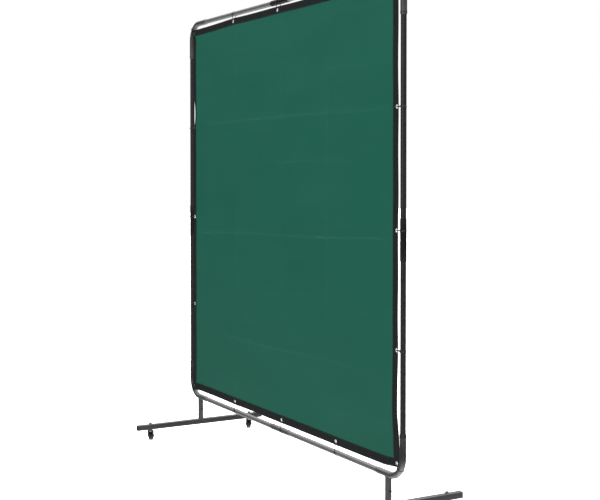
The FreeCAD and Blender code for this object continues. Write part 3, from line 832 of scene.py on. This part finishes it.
# --- Ties ---------------------------------------------------------------------------------------
SOCKET_R = 12.5 * MM
TUBE_R = 11.0 * MM
BEND_R = 82.0 * MM
SLEEVE_HALF = (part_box("sleeve_top")[1].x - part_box("sleeve_top")[0].x) / 2
SIDE_SLEEVE_Z = middle("sleeve_left", 2)
TIE_HALF_WIDTH = 1.8 * MM
TIE_THICK = 1.2 * MM
TIE_EDGE = 0.35 * MM  # the chamfer along each edge of the strap
TIE_SLIP = 0.12 * MM  # between the strap and the tube
TIE_EYE_R = 1.9 * MM  # the strap's bend through the grommet


def belt(big, big_r, small, small_r, steps=14):
    """Points of a belt round two circles in a plane."""
    line = Vector(small) - Vector(big)
    heading = math.degrees(math.atan2(line.y, line.x))
    lean = math.degrees(math.asin((big_r - small_r) / line.length))
    near = arc(big, big_r, heading + 90 - lean, heading + 270 + lean, 2 * steps)
    far = arc(small, small_r, heading - 90 + lean, heading + 90 - lean, steps)
    return near + far


def tie_anchor(x, z):
    """The point on the frame's centreline that a grommet is tied to, the way out, and the tube's radius."""
    bend_x = FRAME_X - BEND_R
    side = 1 if x > 0 else -1
    low_bend, high_bend = FRAME_LOW + BEND_R, FRAME_HIGH - BEND_R
    if abs(x) > bend_x and not low_bend < z < high_bend:
        centre = Vector((side * bend_x, 0, low_bend if z < low_bend else high_bend))
        out = (Vector((x, 0, z)) - centre).normalized()
        return centre + out * BEND_R, out, SOCKET_R
    if abs(x) > bend_x:
        radius = SOCKET_R if abs(z - SIDE_SLEEVE_Z) < SLEEVE_HALF else TUBE_R
        return Vector((side * FRAME_X, 0, z)), Vector((side, 0, 0)), radius
    top = z > (low_bend + high_bend) / 2
    radius = SOCKET_R if abs(x) < SLEEVE_HALF else TUBE_R
    return Vector((x, 0, FRAME_HIGH if top else FRAME_LOW)), Vector((0, 0, 1 if top else -1)), radius


def oblong(half, low, high):
    """A rectangle in mm, half to each side of the Y axis."""
    return in_mm((-half, low), (half, low), (half, high), (-half, high))


def tie_piece(index, x, y, z, chance):
    """A cable tie pulled tight round the tube, with its locking head and cut tail."""
    anchor, out, radius = tie_anchor(x, z)
    inward, depth = -out, Vector((0, 1, 0))
    across = depth.cross(inward)
    place = Matrix.Translation(anchor) @ Matrix((across, depth, inward)).transposed().to_4x4()
    reach = (Vector((x, 0, z)) - anchor).dot(inward)
    snug = radius + TIE_SLIP
    inner = belt((0, 0), snug, (y, reach), TIE_EYE_R)
    outer = belt((0, 0), snug + TIE_THICK, (y, reach), TIE_EYE_R + TIE_THICK)
    lean = chance.uniform(-0.10, 0.10)
    bm = bmesh.new()
    bands = []
    for (iy, iz), (oy, oz) in zip(inner, outer):
        shift = lean * (iz / reach) * 4 * MM
        shoulder = (oy + (iy - oy) * 0.3, oz + (iz - oz) * 0.3)
        ring = [
            (-TIE_HALF_WIDTH, iy, iz), (-TIE_HALF_WIDTH, *shoulder), (TIE_EDGE - TIE_HALF_WIDTH, oy, oz),
            (TIE_HALF_WIDTH - TIE_EDGE, oy, oz), (TIE_HALF_WIDTH, *shoulder), (TIE_HALF_WIDTH, iy, iz),
        ]
        bands.append([bm.verts.new(place @ Vector((a + shift, b, c))) for a, b, c in ring])
    skin(bm, [*bands, bands[0]])
    turn = math.radians(chance.uniform(-22, 12))
    head_place = place @ Matrix.Rotation(turn, 4, "X") @ Matrix.Translation((0, -snug, 0))
    head = bmesh.new()
    prism(head, oblong(2.7, -3.6, -0.2), -2.6 * MM, 2.6 * MM, head_place)
    tail = chance.uniform(4.0, 8.0) * MM
    prism(head, oblong(1.7, -2.5, -1.4), 2.4 * MM, 2.6 * MM + tail, head_place)
    bevel_sharp(head, 0.5 * MM)
    merge(bm, head)
    replaced = ["curtain_ties"] if index == 0 else []
    return piece(f"tie_{index:02d}", bm, "tie_nylon", FRAME_BODY, replaced)


def make_ties():
    chance = random.Random(7)
    for index, (x, y, z) in enumerate(GROMMET_SPOTS):
        tie_piece(index, x, y, z, chance)


# --- The frame ----------------------------------------------------------------------------------
def pipe_along(bm, stations):
    """A skin along a line in the XZ plane, from (centre, tangent, radius) stations."""
    segments = 40
    side = Vector((0, 1, 0))
    rings = []
    for centre, tangent, radius in stations:
        up = tangent.cross(side)
        turn = [2 * math.pi * i / segments for i in range(segments)]
        rings.append([bm.verts.new(centre + (side * math.cos(a) + up * math.sin(a)) * radius) for a in turn])
    skin(bm, rings)


def socket_lip(end, heading):
    """Stations that close a socket's mouth: a rolled lip, then the cut edge down to the tube."""
    steps = in_mm((14.0, 0.0), (12.6, 0.35), (11.0, 0.5), (2.2, 0.5), (0.7, 0.3))
    steps += in_mm((0.0, -0.3), (0.0, -1.3), (1.5, -1.4))
    return [(end - heading * back, heading, SOCKET_R + lift) for back, lift in steps]


def elbow_piece(side_name, level):
    """An elbow's bend between its two straight sockets, each with a rolled lip."""
    side = SIDES[side_name]
    node = f"elbow_{level}_{side_name}"
    low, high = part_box(node)
    up = -1 if level == "top" else 1
    corner = Vector((side * FRAME_X, 0, FRAME_HIGH if level == "top" else FRAME_LOW))
    flat, upright = Vector((-side, 0, 0)), Vector((0, 0, up))
    flat_end = corner + flat * abs((low.x if side > 0 else high.x) - corner.x)
    tall_end = corner + upright * abs((high.z if up > 0 else low.z) - corner.z)
    centre = corner + (flat + upright) * BEND_R
    stations = list(reversed([(p, -h, r) for p, h, r in socket_lip(flat_end, flat)]))
    steps = 24
    for i in range(steps + 1):
        a = math.radians(90) * i / steps
        spot = centre - upright * BEND_R * math.cos(a) - flat * BEND_R * math.sin(a)
        heading = upright * math.sin(a) - flat * math.cos(a)
        stations.append((spot, heading, SOCKET_R))
    stations += socket_lip(tall_end, upright)
    bm = bmesh.new()
    pipe_along(bm, stations)
    # painted light and shade: top elbows take a paler copy of the paint, and bottom elbows a paler copy that
    # darkens upwards
    paint = "top_elbow_paint_painted_light" if level == "top" else "low_elbow_paint_painted_light_and_shade"
    return piece(f"corner_{level}_{side_name}", bm, paint, FRAME_BODY, [node])


def sleeve_piece(name):
    """A sleeve with rolled ends and a shallow groove round its middle; the bottom one takes the paler foot
    paint, a copy with painted light, like its tubes.
    """
    low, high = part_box(name)
    centre = (low + high) / 2
    heading = Vector((1, 0, 0)) if high.x - low.x > high.z - low.z else Vector((0, 0, 1))
    half = (high - low).dot(heading) / 2
    bore = TUBE_R + 0.1 * MM
    profile = [(bore, -half + 1.5 * MM), (bore, -half), (SOCKET_R - 0.5 * MM, -half)]
    profile += [(SOCKET_R, -half + 1.0 * MM), (SOCKET_R, -6 * MM), (SOCKET_R - 0.5 * MM, -3 * MM)]
    profile += [(SOCKET_R - 0.6 * MM, 0)]
    profile += [(radius, -height) for radius, height in reversed(profile[:-1])]
    bm = bmesh.new()
    lathe(bm, profile, along(centre, heading), 48)
    # painted light: the bottom sleeve takes the paler copy of the frame paint
    paint = "foot_paint_painted_light" if name == "sleeve_bottom" else "sleeve_paint"
    return piece(f"{name}_cover", bm, paint, FRAME_BODY, [name])


def weld_bead(name, points, radius):
    """A rippled bead along a closed line of points."""
    bm = bmesh.new()
    rings = []
    count, section = len(points), 8
    for i, point in enumerate(points):
        tangent = (points[(i + 1) % count] - points[i - 1]).normalized()
        side = tangent.orthogonal().normalized()
        up = tangent.cross(side)
        swell = radius * (1.0 + 0.16 * math.cos(2 * math.pi * i / 3))
        ring = []
        for k in range(section):
            a = 2 * math.pi * k / section
            ring.append(bm.verts.new(point + (side * math.cos(a) + up * math.sin(a)) * swell))
        rings.append(ring)
    for i in range(count):
        near, far = rings[i], rings[(i + 1) % count]
        offset = min(range(section), key=lambda k: (near[0].co - far[k].co).length)
        for k in range(section):
            j = (k + 1) % section
            a, b = far[(k + offset) % section], far[(j + offset) % section]
            bm.faces.new((near[k], near[j], b, a))
    return piece(name, bm, "weld", FRAME_BODY, smooth=60)


def fastener_head(bm, place, across_flats, height, chamfer=0.5 * MM):
    """A hexagon with rounded corners."""
    part = bmesh.new()
    prism(part, arc((0, 0), across_flats / math.sqrt(3), 0, 300, 5), 0, height, place)
    bevel_sharp(part, chamfer)
    merge(bm, part)


def threaded_end(bm, place, radius, low, high, pitch):
    """The ridged end of a thread, as rings a pitch apart."""
    profile = [(0, low), (radius - 0.3 * MM, low)]
    height = low
    while height + pitch < high - 0.6 * MM:
        profile += [(radius, height + pitch * 0.5), (radius - 0.45 * MM, height + pitch)]
        height += pitch
    profile += [(radius - 0.2 * MM, high - 0.5 * MM), (radius - 0.9 * MM, high), (0, high)]
    lathe(bm, profile, place, 28)


def leg_fasteners():
    """A hexagon bolt through each leg with its washer, and a lock nut on the inboard side."""
    bolts, nuts = bmesh.new(), bmesh.new()
    height, flats = middle("leg_bolts", 2), 10 * MM
    washer = in_mm((0, -1), (5.6, -1), (5.8, 0.2), (5.6, 0.7), (0, 0.8))
    collar = in_mm((4.4, 3.8), (4.3, 4.7), (3.9, 5.0), (2.9, 5.0), (2.9, 3.8))
    for side_name, side in SIDES.items():
        leg_low, leg_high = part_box(f"leg_{side_name}")
        outer, inner = (leg_high.x, leg_low.x) if side > 0 else (leg_low.x, leg_high.x)
        out_place = along(Vector((outer, 0, height)), (side, 0, 0))
        lathe(bolts, washer, out_place, 32)
        fastener_head(bolts, raised(out_place, 0.7 * MM), flats, 3.3 * MM)
        in_place = along(Vector((inner, 0, height)), (-side, 0, 0))
        fastener_head(nuts, in_place, flats, 3.9 * MM)
        lathe(nuts, collar, in_place, 32)
        threaded_end(bolts, in_place, 3.0 * MM, -2 * MM, 7.0 * MM, 1.0 * MM)
    piece("leg_bolt_set", bolts, "black_steel", FRAME_BODY, ["leg_bolts"])
    piece("leg_nut_set", nuts, "black_steel", FRAME_BODY, ["leg_nuts"])


FOOT_CORNER_R = 2.6 * MM


def foot_piece(side_name):
    """A square tube with rounded corners and softened ends, which its caps close."""
    low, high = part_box(f"foot_tube_{side_name}")
    half = (high.x - low.x) / 2
    place = Matrix.Translation((low + high) / 2) @ Matrix.Rotation(math.radians(-90), 4, "X")
    outline = rounded_square(half, FOOT_CORNER_R)
    inner = rounded_square(half - 1.5 * MM, FOOT_CORNER_R - 1.4 * MM)
    reach = (high.y - low.y) / 2
    bm = bmesh.new()
    loops = []
    for stop in (-reach, -reach + 0.4 * MM, 0, reach - 0.4 * MM, reach):
        shrink = 0.3 * MM if abs(stop) == reach else 0
        scale = (half - shrink) / half
        loops.append([bm.verts.new(place @ Vector((x * scale, y * scale, stop))) for x, y in outline])
    mouths = [[bm.verts.new(place @ Vector((x, y, stop))) for x, y in inner] for stop in (-reach, reach)]
    skin(bm, [mouths[0], *loops, mouths[1]])
    bm.faces.new(mouths[0][::-1])
    bm.faces.new(mouths[1])
    return piece(f"foot_{side_name}", bm, "foot_paint_painted_light", FRAME_BODY, [f"foot_tube_{side_name}"])


def cap_piece(side_name, end_name):
    """A moulded square cap with a soft pillow face and a thin step where it meets the tube."""
    node = f"foot_cap_{end_name}_{side_name}"
    low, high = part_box(node)
    end = -1 if end_name == "front" else 1
    half = (high.x - low.x) / 2
    face = low.y if end < 0 else high.y
    foot_low, foot_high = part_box(f"foot_tube_{side_name}")
    seat = foot_low.y if end < 0 else foot_high.y
    head = abs(face - seat)
    centre = Vector(((low.x + high.x) / 2, seat, (low.z + high.z) / 2))
    place = along(centre, (0, end, 0))
    layers = [(half - 1.9 * MM, -14 * MM), (half - 1.9 * MM, 0.0), (half, 0.0), (half, head * 0.45)]
    layers += [(half - 0.4 * MM, head * 0.8), (half - 1.6 * MM, head), (half - 6 * MM, head + 0.25 * MM)]
    bm = bmesh.new()
    loops = []
    for size, height in layers:
        outline = rounded_square(size, min(FOOT_CORNER_R, size * 0.4))
        loops.append([bm.verts.new(place @ Vector((x, y, height))) for x, y in outline])
    skin(bm, loops)
    bm.faces.new(loops[0][::-1])
    bm.faces.new(loops[-1])
    return piece(f"end_cap_{end_name}_{side_name}", bm, "cap_plastic", FRAME_BODY, [node])


def saddle_points(side_name, count):
    """The line where a leg meets the underside of its elbow."""
    leg = f"leg_{side_name}"
    points = []
    for i in range(count):
        a = 2 * math.pi * i / count
        x, y = middle(leg, 0) + SOCKET_R * math.cos(a), SOCKET_R * math.sin(a)
        drop = math.sqrt(max(SOCKET_R ** 2 - y ** 2, 0))
        points.append(Vector((x, y, min(FRAME_LOW - drop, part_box(leg)[1].z))))
    return points


# Lit and shaded copies of one paint: the uprights get painted shade, and the rails, legs and posts get
# painted light.
TUBE_PAINTS = {  # by the start of a CAD node's name
    "top_tube": "rail_paint_painted_light", "bottom_tube": "rail_paint_painted_light", "left_tube": "frame_paint",
    "right_tube": "frame_paint", "leg_left": "foot_paint_painted_light", "leg_right": "foot_paint_painted_light", "post": "foot_paint_painted_light",
}


def make_frame():
    for side_name in SIDES:
        for level in ("top", "bottom"):
            elbow_piece(side_name, level)
        foot_piece(side_name)
        for end_name in ENDS:
            cap_piece(side_name, end_name)
        weld_bead(f"weld_leg_{side_name}", saddle_points(side_name, 90), 1.5 * MM)
    for name in ("sleeve_left", "sleeve_right", "sleeve_top", "sleeve_bottom"):
        sleeve_piece(name)
    leg_fasteners()
    for start, paint in TUBE_PAINTS.items():
        for name, node in nodes.items():
            if name.startswith(start):
                node.data.materials.clear()
                node.data.materials.append(materials[paint])


# --- The casters, each built with its stem at the origin and its wheel trailing along +X --------
WHEEL_R = 20.0 * MM
FORK_HALF = 11.2 * MM
FORK_PLATE = 2.2 * MM
CROWN_Z = 43.0 * MM
CROWN_R = 16.0 * MM
CUP_Z = 47.6 * MM  # the ball cup on the stem, and the hexagon collar above it
COLLAR_Z = 50.6 * MM
CASTER_EDGE = 0.5 * MM  # the rounding of pressed edges
FOOT_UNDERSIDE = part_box("foot_tube_left")[0].z
FOOT_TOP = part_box("foot_tube_left")[1].z
STEM_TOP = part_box("caster_stem_front_left")[1].z


def caster_place(place):
    """The matrix that puts a caster at its stem, turned the way that its wheel trails."""
    stem = Vector(joints[f"swivel_{place}"]["pos_m"])
    axle = Vector(joints[f"roll_{place}"]["pos_m"])
    trail = Vector((axle.x - stem.x, axle.y - stem.y, 0))
    turn = Matrix.Rotation(math.atan2(trail.y, trail.x), 4, "Z")
    return Matrix.Translation((stem.x, stem.y, 0)) @ turn, trail.length


def axle_line(where, trail):
    """A matrix whose Z axis runs along a caster's axle, from the middle of its wheel."""
    return where @ Matrix.Translation((trail, 0, WHEEL_R)) @ Matrix.Rotation(math.radians(-90), 4, "X")


def stem_piece(place, where):
    """A riveted stem with its ball cup, hexagon collar and threaded end."""
    bm = bmesh.new()
    rivet = in_mm((0, -2.5), (3.0, -2.4), (5.2, -1.8), (6.0, -0.9), (6.0, -0.3), (4.0, -0.3))
    rivet += in_mm((4.0, 4.6), (0, 4.6))
    lathe(bm, rivet, raised(where, CROWN_Z), 40)
    cup = in_mm((4.0, 0), (14.2, -0.1), (15.3, 0.2), (15.5, 1.0), (15.0, 2.0), (13.4, 2.7))
    cup += in_mm((11.0, 2.9), (9.5, 3.6), (4.0, 3.7))
    lathe(bm, cup, raised(where, CUP_Z), 56)
    fastener_head(bm, raised(where, COLLAR_Z), 15 * MM, FOOT_UNDERSIDE - COLLAR_Z, 0.6 * MM)
    threaded_end(bm, where, 4.0 * MM, FOOT_TOP - 1 * MM, STEM_TOP, 1.25 * MM)
    return piece(f"stem_{place}", bm, "zinc_steel", FRAME_BODY, [f"caster_stem_{place}"])


def fork_outline(trail):
    """A fork leg from the side: wide at the crown, round about the axle."""
    top, front = CROWN_Z + FORK_PLATE, 6 * MM - CROWN_R
    foot = arc((trail, WHEEL_R), 7.0 * MM, -175, 10, 16)
    back = [(CROWN_R + 3.0 * MM, CROWN_Z - 4 * MM), (CROWN_R + 1.0 * MM, top)]
    return [(front, top), (front, CROWN_Z - 2 * MM), *foot, *back]


def fork_piece(place, where, trail, body):
    """A pressed steel fork: crown, raised race and two legs with rolled edges."""
    bm = bmesh.new()
    half = FORK_HALF + FORK_PLATE
    for side in (-1, 1):
        leg = bmesh.new()
        upright = where @ Matrix.Translation((0, side * (FORK_HALF + FORK_PLATE / 2), 0))
        upright = upright @ Matrix.Rotation(math.radians(90), 4, "X")
        prism(leg, fork_outline(trail), -FORK_PLATE / 2, FORK_PLATE / 2, upright)
        bevel_sharp(leg, CASTER_EDGE)
        merge(bm, leg)
        boss = where @ Matrix.Translation((trail, side * half, WHEEL_R))
        boss = boss @ Matrix.Rotation(math.radians(-90 * side), 4, "X")
        lathe(bm, in_mm((5.4, -0.3), (5.2, 0.5), (4.6, 0.7), (0, 0.7)), boss, 32)
    crown = bmesh.new()
    outline = arc((0, 0), CROWN_R, 120, 240, 16)
    outline += [(0, -half), (CROWN_R, -half), (CROWN_R + 1 * MM, 0), (CROWN_R, half), (0, half)]
    prism(crown, outline, CROWN_Z, CROWN_Z + FORK_PLATE, where)
    bevel_sharp(crown, CASTER_EDGE)
    merge(bm, crown)
    race = in_mm((15.2, -0.3), (15.0, 0.5), (14.2, 1.6), (13.2, 2.0), (9.2, 2.0), (9.0, -0.3))
    lathe(bm, race, raised(where, CROWN_Z + FORK_PLATE), 56)
    return piece(f"fork_{place}", bm, "caster_steel", body, [f"caster_fork_{place}"])


def axle_piece(place, where, trail, body):
    """A domed rivet head at one end and a lock nut at the other."""
    bm = bmesh.new()
    start = axle_line(where, trail)
    seat = FORK_HALF + FORK_PLATE + 0.6 * MM
    lathe(bm, [(0, -seat), (3.0 * MM, -seat), (3.0 * MM, seat), (0, seat)], start, 28)
    dome = in_mm((5.0, 0), (5.0, -0.6), (4.2, -1.7), (2.4, -2.5), (0, -2.8))
    lathe(bm, dome, raised(start, -seat), 32)
    fastener_head(bm, raised(start, seat), 8.6 * MM, 2.4 * MM, 0.4 * MM)
    return piece(f"axle_{place}", bm, "zinc_steel", body, [f"caster_axle_{place}"])


def wheel_piece(place, where, trail, body):
    """A moulded centre with a boss, a dished web and eight ribs on each face."""
    start = axle_line(where, trail)
    one_side = in_mm((3.06, 10.3), (5.4, 10.3), (6.0, 9.8), (6.4, 4.0), (7.0, 3.2), (10.6, 3.2), (11.3, 4.0))
    one_side += in_mm((11.8, 8.1), (12.3, 8.6), (14.0, 8.6))
    bm = bmesh.new()
    lathe(bm, mirrored(one_side), start, 56)
    ribs = 8
    for side in (-1, 1):
        low, high = sorted((side * 2.56 * MM, side * 7.4 * MM))
        for i in range(ribs):
            rib = bmesh.new()
            turn = start @ Matrix.Rotation(2 * math.pi * i / ribs, 4, "Z")
            prism(rib, in_mm((6.0, -0.7), (12.0, -0.7), (12.0, 0.7), (6.0, 0.7)), low, high, turn)
            bevel_sharp(rib, 0.25 * MM, 1)
            merge(bm, rib)
    return piece(f"wheel_centre_{place}", bm, "wheel_plastic", body, [f"caster_wheel_{place}"])


def tyre_piece(place, where, trail, body):
    """A tread with round shoulders and a fine groove near each of them."""
    one_side = in_mm((13.9, 8.3), (14.4, 9.4), (15.4, 9.95), (16.9, 9.9), (18.2, 9.2), (19.2, 8.0))
    one_side += in_mm((19.7, 6.5), (19.8, 6.0), (19.45, 5.7), (19.45, 5.3), (19.85, 5.0), (20.0, 0.4))
    bm = bmesh.new()
    lathe(bm, mirrored(one_side), axle_line(where, trail), 72)
    return piece(f"tread_{place}", bm, "wheel_tyre", body, [f"caster_tyre_{place}"])


def caster_fasteners(places):
    """A washer and a lock nut on each stem, on top of the foot."""
    nuts, washers = bmesh.new(), bmesh.new()
    washer = in_mm((4.1, 0), (7.9, 0), (8.0, 0.3), (7.9, 1.4), (7.6, 1.6), (4.1, 1.6), (4.1, 0))
    collar = in_mm((5.6, 5.0), (5.5, 6.0), (5.0, 6.4), (4.1, 6.4), (4.1, 5.0))
    for where in places:
        lathe(washers, washer, raised(where, FOOT_TOP), 40)
        on_washer = raised(where, FOOT_TOP + 1.6 * MM)
        fastener_head(nuts, on_washer, 13 * MM, 5.2 * MM, 0.6 * MM)
        lathe(nuts, collar, on_washer, 32)
    piece("caster_nut_set", nuts, "zinc_steel", FRAME_BODY, ["caster_nuts"])
    piece("caster_washer_set", washers, "zinc_steel", FRAME_BODY, ["caster_washers"])


def make_casters():
    places = []
    for place in PLACES:
        where, trail = caster_place(place)
        places.append(where)
        stem_piece(place, where)
        fork_piece(place, where, trail, f"swivel_{place}")
        axle_piece(place, where, trail, f"swivel_{place}")
        wheel_piece(place, where, trail, f"wheel_{place}")
        tyre_piece(place, where, trail, f"wheel_{place}")
    caster_fasteners(places)


# --- The scene ----------------------------------------------------------------------------------
make_camera()
bpy.context.scene.view_settings.view_transform = "Standard"
make_world(seen=1.0, horizon=0.03, zenith=4.0)
make_floor(size=60.0, glow=1.0)
area_light("overhead", (0.3, -0.4, 4.2), (0.0, 0.0, 0.0), (4.0, 4.0), 60)
area_light("front", (3.0, -4.8, 2.4), (0.0, 0.0, 1.1), (3.0, 3.0), 40)

make_frame()
make_curtain()
make_ties()
make_casters()
